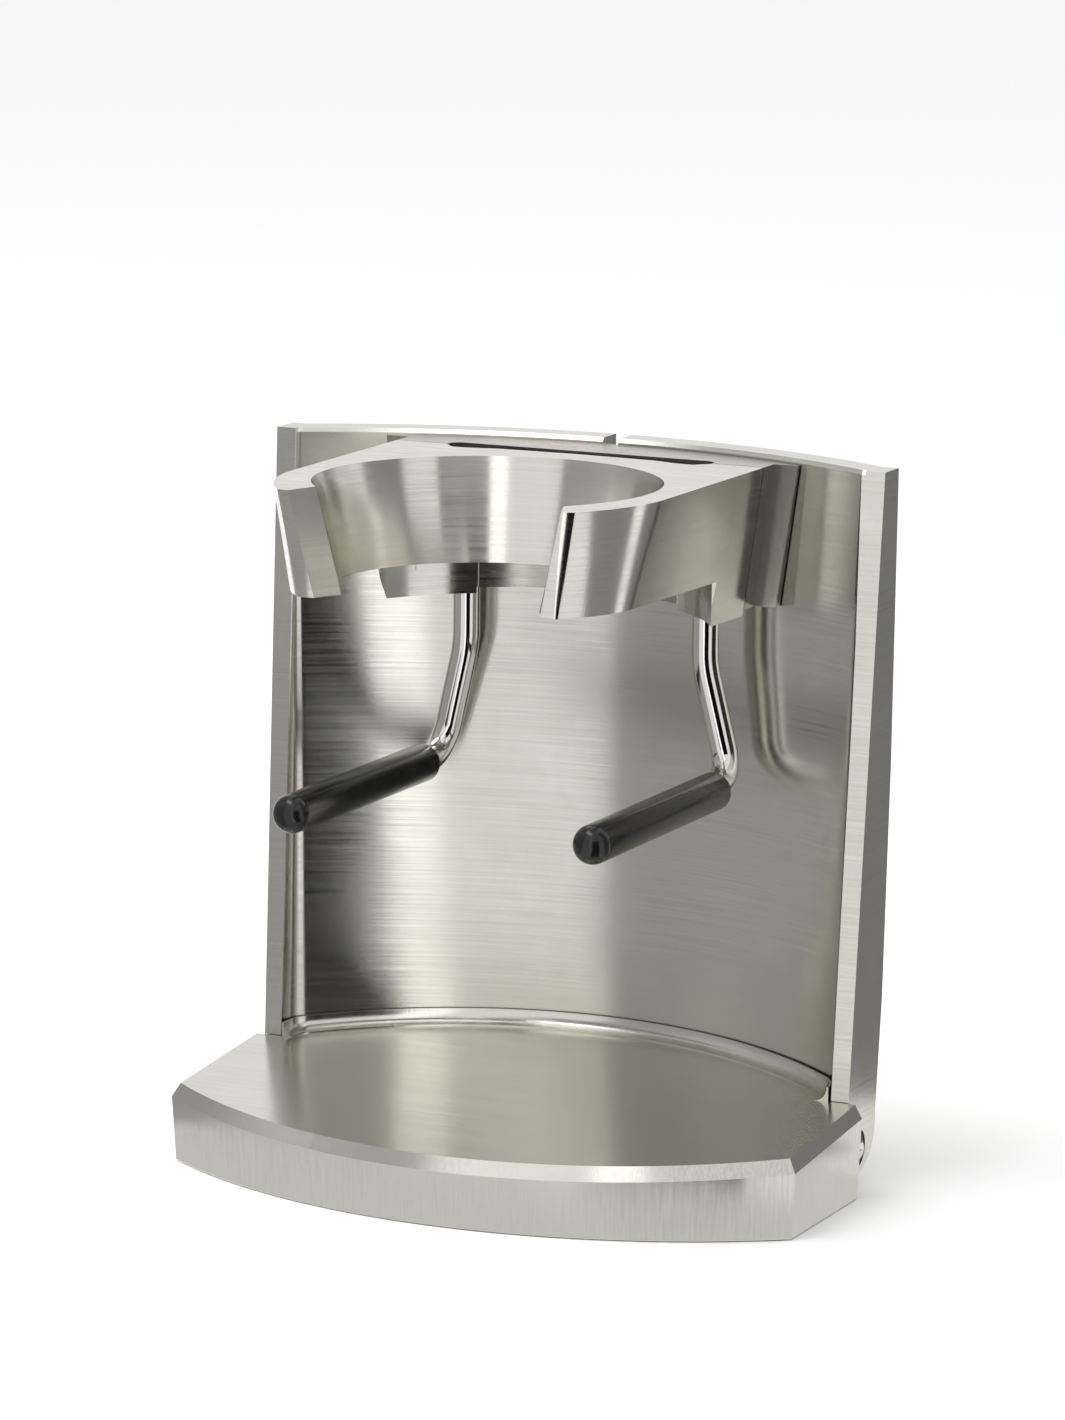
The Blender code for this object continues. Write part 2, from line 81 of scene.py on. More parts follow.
# Back shell: every value pair is (at FOOT_Z, at TOP_Z)
FOOT_Z = 22.8
TOP_Z = 170.0
WALL_LOW_Z = 15.5
WALL = 8.0
STRIP_IN = (72.0, 73.6)
STRIP_OUT = (76.3, 78.4)
STRIP_FRONT = (41.2, 51.0)
STRIP_LIP = 0.3           # the panel starts this far behind the strip's face
PANEL_APEX = (72.0, 71.5)
PANEL_R = (110.0, 140.0)
PANEL_CORNER_R = (10.0, 3.0)
RIM_BEVEL = 0.9
SHELL_SOLVER = "MANIFOLD"  # the exact solver loses the wall at the notch
FLANGE_LAP = 0.12         # the flange's inner face stands this far proud of the panel's corner
NOTCH = (4.0, 3.0)
PLAY = 0.6                # between base and back
GAP = 0.3                 # between fixed neighbours

# Hinge
HINGE_Y = 48.0
HINGE_Z = 10.2
FLANGE_LOW_Z = 4.0
FLANGE_TOE_R = 6.8
HEEL_Y, HEEL_Z, HEEL_R = 47.6, 15.0, 11.0
PIN_R = 2.7
BUSH_R = 4.5
BOSS_R = 4.8

# Yoke: every value pair is (at YOKE_LOW, at YOKE_TOP)
YOKE_TOP = 168.7
YOKE_LOW = 144.2
LUG_LOW = 133.3
BORE_Y = 2.8
BORE_R = (35.2, 40.3)
JAW_OUTER = ((32.0, -29.3), (36.6, -30.7))
JAW_TIP = ((28.1, -29.3), (33.9, -31.3))
JAW_THROAT = ((24.8, -22.2), (30.9, -23.1))
CHEEK = ((38.6, -20.4), (43.4, -19.4))
CREASE = ((41.7, -7.0), (46.8, -5.0))
YOKE_HALF = (44.0, 47.3)
SEAM_Y = 53.0
LUG_ARC_Y, LUG_ARC_R = 13.3, 47.5
LUG_FRONT = 34.3
SLOT_HALF, SLOT_FRONT, SLOT_BACK, SLOT_FLOOR = 34.0, 50.4, 56.6, 160.0

# Mounting block
PLATE_FRONT = 59.3
PLATE_LEDGE = 6.0
SCREW_X, SCREW_Z = 40.0, (140.0, 162.5)
SCREW_R, HEAD_R = 2.5, 4.25
SEAT_Y = 71.0
SCREW_TIP_Y = 43.0
DOWEL_X, DOWEL_Z, DOWEL_R = 20.0, 152.0, 2.0
GRUB_Z, GRUB_R = 142.0, 2.0

# Arms
ROD_R = 3.2
ROD_ROUTE = ((31.1, 58.0, 149.0), (31.1, 58.0, 120.0), (37.8, 59.2, 92.0), (37.8, -17.0, 92.0))
ROD_BENDS = (30.0, 8.5)
SLEEVE_R, SLEEVE_BORE = 4.6, 3.4
SLEEVE_BACK, SLEEVE_TIP, SLEEVE_FLOOR = 49.0, -25.0, -17.6

MM = 0.001
WELD = 0.001              # points closer than this are one point
SIDES = (("left", -1), ("right", 1))

# Finishing: degrees between faces from which an edge is sharp, or gets a bevel
SHARP_ANGLE = 28.0
BEVEL_ANGLE = 32.0
BEVEL_SEGMENTS = 2


def lerp(pair, share):
    return pair[0] + (pair[1] - pair[0]) * share


def shell_value(pair, z):
    return lerp(pair, (z - FOOT_Z) / (TOP_Z - FOOT_Z))


def yoke_value(pair, z):
    return lerp(pair, (z - YOKE_LOW) / (YOKE_TOP - YOKE_LOW))


def yoke_point(pair, z):
    return tuple(yoke_value((pair[0][i], pair[1][i]), z) for i in range(2))


REAR_Y = shell_value(PANEL_APEX, WALL_LOW_Z) + WALL
CENTRE_Y = (REAR_Y + JAW_TIP[1][1]) / 2


def centred(point):
    x, y, z = point
    return Vector((x, y - CENTRE_Y, z))


# ---------------------------------------------------------------- outlines
def arc_through(a, b, c, steps):
    """Points of the arc from a through b to c, both ends included."""
    ax, ay, bx, by, cx, cy = *a, *b, *c
    d = 2 * (ax * (by - cy) + bx * (cy - ay) + cx * (ay - by))
    a2, b2, c2 = ax * ax + ay * ay, bx * bx + by * by, cx * cx + cy * cy
    ox = (a2 * (by - cy) + b2 * (cy - ay) + c2 * (ay - by)) / d
    oy = (a2 * (cx - bx) + b2 * (ax - cx) + c2 * (bx - ax)) / d
    radius = math.hypot(ax - ox, ay - oy)
    start, middle, end = (math.atan2(p[1] - oy, p[0] - ox) for p in (a, b, c))
    turn = (end - start) % (2 * math.pi)
    if (middle - start) % (2 * math.pi) > turn:
        turn -= 2 * math.pi
    angles = (start + turn * i / steps for i in range(steps + 1))
    return [(ox + radius * math.cos(t), oy + radius * math.sin(t)) for t in angles]


def mirrored(half):
    """A symmetric run of points from its right half, listed from right to left."""
    return half + [(-x, y) for x, y in reversed(half) if abs(x) > 1e-9]


def panel_half(z, offset=0.0, from_y=None, corner_steps=14, arc_steps=44):
    """Right half of the concave front face, from the side strip to the middle."""
    apex = shell_value(PANEL_APEX, z) - offset
    radius = shell_value(PANEL_R, z) - offset
    corner = shell_value(PANEL_CORNER_R, z) - min(offset, 1.0)
    side = shell_value(STRIP_IN, z) - offset
    start_y = shell_value(STRIP_FRONT, z) if from_y is None else from_y
    centre_y = apex - radius
    fillet_x = side - corner
    fillet_y = centre_y + math.sqrt((radius - corner) ** 2 - fillet_x ** 2)
    first = math.asin(max(-1.0, min(1.0, (start_y - fillet_y) / corner)))
    first = max(first, 0.0)
    last = math.atan2(fillet_y - centre_y, fillet_x)
    points = []
    for i in range(corner_steps + 1):
        t = first + (last - first) * i / corner_steps
        points.append((fillet_x + corner * math.cos(t), fillet_y + corner * math.sin(t)))
    for i in range(1, arc_steps + 1):
        t = last + (math.pi / 2 - last) * i / arc_steps
        points.append((radius * math.cos(t), centre_y + radius * math.sin(t)))
    points[-1] = (0.0, apex)
    return points


def wall_back(x, z):
    radius = shell_value(PANEL_R, z)
    centre_y = shell_value(PANEL_APEX, z) - radius
    return centre_y + math.sqrt((radius + WALL) ** 2 - x * x)


def base_outline(inset):
    """Plan of the base: bow front, straight sides, and a tongue that follows the back."""
    half = BASE_HALF - inset
    front = arc_through((-half, inset * 0.6), (0.0, inset - BASE_SAG), (half, inset * 0.6), 96)
    tongue = panel_half(FOOT_Z, PLAY, from_y=BASE_REAR)
    return front + [(half, BASE_REAR), (tongue[0][0], BASE_REAR)] + mirrored(tongue) + [
        (-tongue[0][0], BASE_REAR), (-half, BASE_REAR)]


# ---------------------------------------------------------------- meshes
def make_object(name, verts, faces, material=None):
    mesh = bpy.data.meshes.new(name)
    mesh.from_pydata([centred(v) for v in verts], [], faces)
    bm = bmesh.new()
    bm.from_mesh(mesh)
    bmesh.ops.remove_doubles(bm, verts=bm.verts, dist=WELD)
    bmesh.ops.recalc_face_normals(bm, faces=bm.faces)
    bmesh.ops.triangulate(bm, faces=[f for f in bm.faces if len(f.verts) == 4])
    bm.to_mesh(mesh)
    bm.free()
    if material:
        mesh.materials.append(material)
    obj = bpy.data.objects.new(name, mesh)
    bpy.context.scene.collection.objects.link(obj)
    return obj


def loft(name, rings, material=None):
    """A closed body through rings of equally many points."""
    count = len(rings[0])
    verts = [p for ring in rings for p in ring]
    faces = [tuple(range(count)), tuple(range((len(rings) - 1) * count, len(rings) * count))]
    for level in range(len(rings) - 1):
        low, high = level * count, (level + 1) * count
        for i in range(count):
            j = (i + 1) % count
            faces.append((low + i, low + j, high + j, high + i))
    return make_object(name, verts, faces, material)


def prism(name, outline, z_low, z_high, material=None):
    return loft(name, [[(x, y, z) for x, y in outline] for z in (z_low, z_high)], material)


def turned(name, profile, start, axis, material=None, steps=48):
    """A body turned about an axis; the profile lists (distance along the axis, radius)."""
    axis = Vector(axis).normalized()
    side = axis.orthogonal().normalized()
    up = axis.cross(side)
    start = Vector(start)
    verts, rows = [], []
    for along, radius in profile:
        if radius < 1e-9:
            rows.append([len(verts)] * steps)
            verts.append(start + axis * along)
            continue
        rows.append(list(range(len(verts), len(verts) + steps)))
        for i in range(steps):
            t = 2 * math.pi * i / steps
            verts.append(start + axis * along + (side * math.cos(t) + up * math.sin(t)) * radius)
    faces = []
    for low, high in zip(rows, rows[1:] + rows[:1]):
        for i in range(steps):
            j = (i + 1) % steps
            corners = list(dict.fromkeys((low[i], low[j], high[j], high[i])))
            if len(corners) > 2:
                faces.append(corners)
    return make_object(name, verts, faces, material)


def rod(name, start, axis, length, radius, material=None, steps=48):
    profile = [(0.0, 0.0), (0.0, radius), (length, radius), (length, 0.0)]
    return turned(name, profile, start, axis, material, steps)


def rounded_route(route, bends, steps=20):
    """A polyline whose corners are replaced with arcs."""
    points = [Vector(route[0])]
    for before, corner, after, radius in zip(route, route[1:], route[2:], bends):
        corner = Vector(corner)
        back = (Vector(before) - corner).normalized()
        ahead = (Vector(after) - corner).normalized()
        half = back.angle(ahead) / 2
        reach = radius / math.tan(half)
        middle = corner + (back + ahead).normalized() * (radius / math.sin(half))
        first = corner + back * reach - middle
        last = corner + ahead * reach - middle
        points += [middle + first.slerp(last, i / steps) * radius for i in range(steps + 1)]
    return points + [Vector(route[-1])]


def tube(name, points, radius, material, steps=48):
    """A round bar along a route, with flat ends."""
    frame = (points[1] - points[0]).orthogonal().normalized()
    rings = []
    for i, point in enumerate(points):
        ahead = (points[min(i + 1, len(points) - 1)] - points[max(i - 1, 0)]).normalized()
        frame = (frame - ahead * frame.dot(ahead)).normalized()
        other = ahead.cross(frame)
        turns = (2 * math.pi * k / steps for k in range(steps))
        rings.append([point + (frame * math.cos(t) + other * math.sin(t)) * radius for t in turns])
    return loft(name, rings, material)


def boolean(target, tool, operation, solver="EXACT"):
    """Apply one Boolean and delete its tool."""
    modifier = target.modifiers.new(operation.lower(), "BOOLEAN")
    modifier.operation = operation
    modifier.solver = solver
    modifier.object = tool
    depsgraph = bpy.context.evaluated_depsgraph_get()
    result = bpy.data.meshes.new_from_object(target.evaluated_get(depsgraph))
    bm = bmesh.new()
    bm.from_mesh(result)
    bmesh.ops.remove_doubles(bm, verts=bm.verts, dist=WELD)
    bmesh.ops.dissolve_degenerate(bm, edges=bm.edges, dist=WELD)
    bm.to_mesh(result)
    bm.free()
    target.modifiers.clear()
    old = target.data
    name = old.name
    target.data = result
    bpy.data.meshes.remove(old)
    result.name = name
    bpy.data.objects.remove(tool)


def cut(target, tool, solver="EXACT"):
    boolean(target, tool, "DIFFERENCE", solver)


def join(target, tool, solver="EXACT"):
    boolean(target, tool, "UNION", solver)


# ---------------------------------------------------------------- pieces
def base_top(y):
    return BASE_TOP_Z + BASE_SLOPE * y


def build_base(steel, name):
    rings = [[(x, y, BASE_UNDER) for x, y in base_outline(BASE_DRAFT)],
             [(x, y, BEVEL_Z + BASE_SLOPE * y) for x, y in base_outline(0.0)],
             [(x, y, base_top(y)) for x, y in base_outline(BEVEL_IN)]]
    base = loft(name, rings, steel)
    join(base, cove())
    for _, side in SIDES:
        join(base, rod("boss", (side * 55.0, HINGE_Y, HINGE_Z), (side, 0, 0), 16.4, BOSS_R))
        cut(base, rod("pin_hole", (side * 57.7, HINGE_Y, HINGE_Z), (side, 0, 0), 16.0, PIN_R + GAP))
    cut(base, prism("pad_recess", pad_outline(PAD_INSET - GAP), -1.0, PAD_THICK + GAP))
    return base


def cove():
    """Fillet strip that rises from the base's top along the foot of the back."""
    run = mirrored(panel_half(FOOT_Z, PLAY, from_y=BASE_REAR))
    profile = [(0.0, -1.5), (0.0, COVE_R), (0.4, COVE_R)]
    reach = COVE_R - 0.4
    for i in range(1, 12):
        t = math.pi / 2 * i / 12
        profile.append((COVE_R - reach * math.cos(t), COVE_R - COVE_R * math.sin(t)))
    profile += [(COVE_R, 0.05), (COVE_R, -1.5)]
    rings = []
    for i, (x, y) in enumerate(run):
        ahead = run[min(i + 1, len(run) - 1)]
        behind = run[max(i - 1, 0)]
        along = Vector((ahead[0] - behind[0], ahead[1] - behind[1])).normalized()
        inward = Vector((-along.y, along.x))
        rings.append([(x + inward.x * d, y + inward.y * d, base_top(y) + h) for d, h in profile])
    return loft("cove", rings)


def pad_outline(inset):
    half = BASE_HALF - inset
    front = arc_through((-half, 1.0), (0.0, inset - BASE_SAG), (half, 1.0), 24)
    return front + [(half, BASE_REAR - inset), (-half, BASE_REAR - inset)]


def flange_outline():
    """Side flange in the YZ plane: leaning front, upright back, rounded heel and toe."""
    points = [(STRIP_FRONT[1], TOP_Z), (STRIP_FRONT[0], FOOT_Z)]
    lowest = math.asin((HINGE_Z - FLANGE_LOW_Z) / FLANGE_TOE_R)
    for i in range(7):
        t = math.pi + lowest * i / 6
        points.append((HINGE_Y + FLANGE_TOE_R * math.cos(t), HINGE_Z + FLANGE_TOE_R * math.sin(t)))
    for i in range(11):
        t = -math.pi / 2 + (math.pi / 2 + 0.2) * i / 10
        points.append((HEEL_Y + HEEL_R * math.cos(t), HEEL_Z + HEEL_R * math.sin(t)))
    return points + [(60.4, 44.0), (61.0, 100.0), (59.5, TOP_Z)]


def build_shell(steel, name):
    rings = []
    for z in (WALL_LOW_Z, 27.0, 60.0, 95.0, 130.0, TOP_Z - RIM_BEVEL, TOP_Z):
        front_y = shell_value(STRIP_FRONT, z) + STRIP_LIP
        edge_x = shell_value(STRIP_IN, z) + 2.0
        rim = RIM_BEVEL if z == TOP_Z else 0.0
        face = [(x, y + rim) for x, y in panel_half(z, from_y=front_y)]
        back = [(edge_x * (1 - i / 48), wall_back(edge_x * (1 - i / 48), z)) for i in range(49)]
        front_run = mirrored([(edge_x, front_y + rim)] + face)
        back_run = mirrored(back)
        rings.append([(x, y, z) for x, y in front_run + back_run[::-1]])
    shell = loft(name, rings, steel)
    width, depth = NOTCH
    notch = [(width / 2, 60.0), (width / 2, 90.0), (-width / 2, 90.0), (-width / 2, 60.0)]
    cut(shell, prism("notch", notch, TOP_Z - depth, TOP_Z + 5.0), SHELL_SOLVER)
    outline = flange_outline()
    for _, side in SIDES:
        inner = [(side * (shell_value(STRIP_IN, z) - FLANGE_LAP), y, z) for y, z in outline]
        outer = [(side * shell_value(STRIP_OUT, z), y, z) for y, z in outline]
        join(shell, loft("flange", [inner, outer]), SHELL_SOLVER)
        cut(shell, rod("bush_hole", (side * 65.0, HINGE_Y, HINGE_Z), (side, 0, 0), 20.0, BUSH_R + 0.15),
            SHELL_SOLVER)
        for z in SCREW_Z:
            cut(shell, rod("screw_hole", (side * SCREW_X, 55.0, z), (0, 1, 0), 30.0, SCREW_R + GAP),
                SHELL_SOLVER)
            cut(shell, rod("spot_face", (side * SCREW_X, SEAT_Y, z), (0, 1, 0), 15.0, HEAD_R + 0.9),
                SHELL_SOLVER)
    return shell


def yoke_section(z):
    """C-shaped plan of the yoke at one height, jaws towards -Y."""
    outer = arc_through(yoke_point(JAW_OUTER, z), yoke_point(CHEEK, z), yoke_point(CREASE, z), 28)
    half = yoke_value(YOKE_HALF, z)
    right = outer + [(half, SEAM_Y)]
    throat = yoke_point(JAW_THROAT, z)
    radius = yoke_value(BORE_R, z)
    start = math.atan2(throat[1] - BORE_Y, throat[0])
    bore = []
    for i in range(91):
        t = start + (math.pi / 2 - start) * i / 90
        bore.append((radius * math.cos(t), BORE_Y + radius * math.sin(t)))
    bore[-1] = (0.0, BORE_Y + radius)
    inner = [yoke_point(JAW_TIP, z)] + bore
    left = [(-x, y) for x, y in reversed(right)]
    return [(x, y, z) for x, y in right + left + mirrored(inner)[::-1]]


def under_cut():
    """Everything below the ring except the two lugs and the crossbar."""
    reach = math.sqrt(LUG_ARC_R ** 2 - (LUG_FRONT - LUG_ARC_Y) ** 2)
    arc = arc_through((reach, LUG_FRONT), (0.0, LUG_ARC_Y + LUG_ARC_R), (-reach, LUG_FRONT), 80)
    outline = [(-70.0, -60.0), (70.0, -60.0), (70.0, LUG_FRONT)] + arc + [(-70.0, LUG_FRONT)]
    return prism("under_cut", outline, LUG_LOW - 5.0, YOKE_LOW)


def slot_tool():
    """Shallow curved pocket across the seam."""
    half, front, back = SLOT_HALF, SLOT_FRONT, SLOT_BACK
    outline = [(half, SEAM_Y - 0.5), (half - 3.0, front - 1.2), (half - 7.0, front - 1.0),
               (20.0, front + 0.8),
               (0.0, front + 1.6), (-20.0, front + 0.8), (7.0 - half, front - 1.0), (3.0 - half, front - 1.2),
               (-half, SEAM_Y - 0.5), (-half, back - 1.5), (2.0 - half, back), (half - 2.0, back),
               (half, back - 1.5)]
    return prism("slot_tool", outline, SLOT_FLOOR, YOKE_TOP + 5.0)


def build_yoke(steel, name):
    yoke = loft(name, [yoke_section(z) for z in (LUG_LOW, YOKE_TOP)], steel)
    cut(yoke, under_cut())
    cut(yoke, slot_tool())
    for _, side in SIDES:
        for z in SCREW_Z:
            start = (side * SCREW_X, SCREW_TIP_Y - GAP, z)
            cut(yoke, rod("screw_hole", start, (0, 1, 0), 20.0, SCREW_R + GAP))
        start = (side * DOWEL_X, 46.0 - GAP, DOWEL_Z)
        cut(yoke, rod("dowel_hole", start, (0, 1, 0), 20.0, DOWEL_R + GAP))
    return yoke


def block_section(z):
    half = yoke_value(YOKE_HALF, z)
    wide = half + PLATE_LEDGE * (0.9 + 0.1 * (z - LUG_LOW) / (YOKE_TOP - LUG_LOW))
    radius = shell_value(PANEL_R, z) - GAP
    centre_y = shell_value(PANEL_APEX, z) - GAP - radius
    xs = [wide * (1 - i / 20) for i in range(21)]
    rear = [(x, centre_y + math.sqrt(radius * radius - x * x)) for x in xs]
    rear[-1] = (0.0, centre_y + radius)
    right = [(half, SEAM_Y + GAP), (half, PLATE_FRONT), (wide, PLATE_FRONT)] + rear
    return [(x, y, z) for x, y in mirrored(right)]


def build_block(steel, name):
    block = loft(name, [block_section(z) for z in (LUG_LOW + 1.5, YOKE_TOP)], steel)
    cut(block, under_cut())
    cut(block, slot_tool())
    for _, side in SIDES:
        for z in SCREW_Z:
            cut(block, rod("screw_hole", (side * SCREW_X, 50.0, z), (0, 1, 0), 30.0, SCREW_R + GAP))
        cut(block, rod("dowel_hole", (side * DOWEL_X, 50.0, DOWEL_Z), (0, 1, 0), 11.0 + GAP, DOWEL_R + GAP))
        top = (side * ROD_ROUTE[0][0], ROD_ROUTE[0][1], ROD_ROUTE[0][2] + GAP)
        cut(block, rod("rod_hole", top, (0, 0, -1), 30.0, ROD_R + GAP))
        start = (side * ROD_ROUTE[0][0], ROD_ROUTE[0][1], GRUB_Z)
        cut(block, rod("grub_hole", start, (0, 1, 0), 30.0, GRUB_R + GAP))
    return block


def build_arm(name, side, steel):
    route = [(side * x, y, z) for x, y, z in ROD_ROUTE]
    return tube(name, rounded_route(route, ROD_BENDS), ROD_R, steel)


def build_sleeve(name, side, rubber):
    length = SLEEVE_BACK - SLEEVE_TIP
    dome = length - SLEEVE_R
    profile = [(0.0, SLEEVE_BORE), (0.0, SLEEVE_R - 0.7), (0.25, SLEEVE_R - 0.2), (0.8, SLEEVE_R),
               (dome, SLEEVE_R)]
    for i in range(1, 20):
        t = math.pi / 2 * i / 20
        profile.append((dome + SLEEVE_R * math.sin(t), SLEEVE_R * math.cos(t)))
    depth = SLEEVE_BACK - SLEEVE_FLOOR
    profile += [(length, 0.0), (depth, 0.0), (depth, SLEEVE_BORE)]
    start = (side * ROD_ROUTE[-1][0], SLEEVE_BACK, ROD_ROUTE[-1][2])
    return turned(name, profile, start, (0, -1, 0), rubber, 56)


# ---------------------------------------------------------------- finishing the shapes
def finish(obj, body, nodes, edge=0.0):
    """Round the sharp edges, scale to metres, and hand the piece to its body."""
    obj.data.transform(Matrix.Scale(MM, 4))
    obj.data.shade_smooth()
    obj.data.set_sharp_from_angle(angle=math.radians(SHARP_ANGLE))
    if edge:
        bevel = obj.modifiers.new("edges", "BEVEL")
        bevel.width = edge * MM
        bevel.segments = BEVEL_SEGMENTS
        bevel.limit_method = "ANGLE"
        bevel.angle_limit = math.radians(BEVEL_ANGLE)
        bevel.use_clamp_overlap = True
        bevel.harden_normals = True
    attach(obj, body)
    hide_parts(*nodes)


# ---------------------------------------------------------------- materials
def add_node(tree, kind, **inputs):
    node = tree.nodes.new(kind)
    for key, value in inputs.items():
        node.inputs[key].default_value = value
    return node


def grain(tree, coords, scale, detail=3.0):
    """Noise stretched by a scale per axis, in object metres."""
    mapping = add_node(tree, "ShaderNodeMapping", Scale=scale)
    noise = add_node(tree, "ShaderNodeTexNoise", Scale=1.0, Detail=detail, Roughness=0.6)
    tree.links.new(coords, mapping.inputs["Vector"])
    tree.links.new(mapping.outputs["Vector"], noise.inputs["Vector"])
    return noise.outputs["Fac"]


def to_range(tree, value, low, high, from_low=0.3, from_high=0.7):
    node = tree.nodes.new("ShaderNodeMapRange")
    node.inputs["From Min"].default_value = from_low
    node.inputs["From Max"].default_value = from_high
    node.inputs["To Min"].default_value = low
    node.inputs["To Max"].default_value = high
    tree.links.new(value, node.inputs["Value"])
    return node.outputs["Result"]


def mix_values(tree, factor, first, second):
    node = tree.nodes.new("ShaderNodeMix")
    node.data_type = "FLOAT"
    tree.links.new(factor, node.inputs[0])
    tree.links.new(first, node.inputs[2])
    tree.links.new(second, node.inputs[3])
    return node.outputs[0]


def mix_colours(tree, factor, first, second):
    node = tree.nodes.new("ShaderNodeMix")
    node.data_type = "RGBA"
    node.inputs[6].default_value = (*first, 1.0)
    node.inputs[7].default_value = (*second, 1.0)
    tree.links.new(factor, node.inputs[0])
    return node.outputs[2]


def face_up(tree):
    """1 on faces that look up or down, 0 on upright ones."""
    geometry = tree.nodes.new("ShaderNodeNewGeometry")
    split = tree.nodes.new("ShaderNodeSeparateXYZ")
    size = tree.nodes.new("ShaderNodeMath")
    size.operation = "ABSOLUTE"
    tree.links.new(geometry.outputs["Normal"], split.inputs[0])
    tree.links.new(split.outputs["Z"], size.inputs[0])
    return to_range(tree, size.outputs[0], 0.0, 1.0, 0.75, 0.85)


def brushed_metal(name, light, dark, roughness, side_grain, top_grain, depth,
                  pits=0.0, spread=0.06, stretch=0.0):
    """Brushed, cloudy metal; it can have casting pits, and reflections stretched upright by stretch."""
    material = bpy.data.materials.new(name)
    material.use_nodes = True
    tree = material.node_tree
    shader = tree.nodes["Principled BSDF"]
    shader.inputs["Metallic"].default_value = 1.0
    if stretch:
        shader.inputs["Anisotropic"].default_value = stretch
        across = add_node(tree, "ShaderNodeCombineXYZ", X=0.0, Y=0.4, Z=1.0)
        tree.links.new(across.outputs[0], shader.inputs["Tangent"])
    coords = tree.nodes.new("ShaderNodeTexCoord").outputs["Object"]
    lines = mix_values(tree, face_up(tree), grain(tree, coords, side_grain), grain(tree, coords, top_grain))
    clouds = grain(tree, coords, (55.0, 55.0, 55.0), 4.0)
    wear = mix_values(tree, to_range(tree, clouds, 0.35, 0.8), clouds, lines)
    colour = mix_colours(tree, to_range(tree, wear, 0.0, 1.0), light, dark)
    tree.links.new(colour, shader.inputs["Base Color"])
    low, high = roughness - spread, roughness + spread
    rough = mix_values(tree, to_range(tree, clouds, 0.0, 0.5), to_range(tree, lines, low, high),
                       to_range(tree, clouds, low, high))
    tree.links.new(rough, shader.inputs["Roughness"])
    height = lines
    if pits:
        holes = add_node(tree, "ShaderNodeTexVoronoi", Scale=420.0, Randomness=1.0)
        tree.links.new(coords, holes.inputs["Vector"])
        dots = to_range(tree, holes.outputs["Distance"], 0.0, 1.0, 0.05, 0.16)
        patches = to_range(tree, grain(tree, coords, (160.0, 160.0, 160.0)), 1.0 - pits, 1.0, 0.62, 0.52)
        rim = tree.nodes.new("ShaderNodeMath")
        rim.operation = "MAXIMUM"
        tree.links.new(dots, rim.inputs[0])
        tree.links.new(patches, rim.inputs[1])
        height_node = tree.nodes.new("ShaderNodeMath")
        height_node.operation = "MULTIPLY_ADD"
        height_node.inputs[1].default_value = 6.0
        tree.links.new(rim.outputs[0], height_node.inputs[0])
        tree.links.new(lines, height_node.inputs[2])
        height = height_node.outputs[0]
    bump = add_node(tree, "ShaderNodeBump", Strength=1.0, Distance=depth)
    tree.links.new(height, bump.inputs["Height"])
    tree.links.new(bump.outputs["Normal"], shader.inputs["Normal"])
    material.diffuse_color = (*light, 1.0)
    return material


def gloss_rubber():
    """Dipped rubber: deep black, glossy, with a faint orange peel."""
    material = bpy.data.materials.new("gloss_black_rubber")
    material.use_nodes = True
    tree = material.node_tree
    shader = tree.nodes["Principled BSDF"]
    shader.inputs["Base Color"].default_value = (0.006, 0.006, 0.007, 1.0)
    shader.inputs["Specular IOR Level"].default_value = 0.35
    shader.inputs["Coat Weight"].default_value = 0.2
    shader.inputs["Coat Roughness"].default_value = 0.06
    coords = tree.nodes.new("ShaderNodeTexCoord").outputs["Object"]
    peel = grain(tree, coords, (420.0, 160.0, 420.0), 2.0)
    tree.links.new(to_range(tree, peel, 0.16, 0.26), shader.inputs["Roughness"])
    bump = add_node(tree, "ShaderNodeBump", Strength=0.5, Distance=0.00006)
    tree.links.new(peel, bump.inputs["Height"])
    tree.links.new(bump.outputs["Normal"], shader.inputs["Normal"])
    return material


def matt_rubber():
    material = bpy.data.materials.new("matt_rubber")
    material.use_nodes = True
    tree = material.node_tree
    shader = tree.nodes["Principled BSDF"]
    shader.inputs["Base Color"].default_value = (0.03, 0.03, 0.03, 1.0)
    coords = tree.nodes.new("ShaderNodeTexCoord").outputs["Object"]
    speckle = grain(tree, coords, (900.0, 900.0, 900.0), 2.0)
    tree.links.new(to_range(tree, speckle, 0.7, 0.9), shader.inputs["Roughness"])
    bump = add_node(tree, "ShaderNodeBump", Strength=0.6, Distance=0.0001)
    tree.links.new(speckle, bump.inputs["Height"])
    tree.links.new(bump.outputs["Normal"], shader.inputs["Normal"])
    return material


def paint(obj, material):
    obj.data.materials.clear()
    obj.data.materials.append(material)


def repaint(node, material):
    """Give a CAD node its finish, in every slot it has."""
    obj = frame["nodes"][node]
    for slot in obj.material_slots:
        slot.material = material


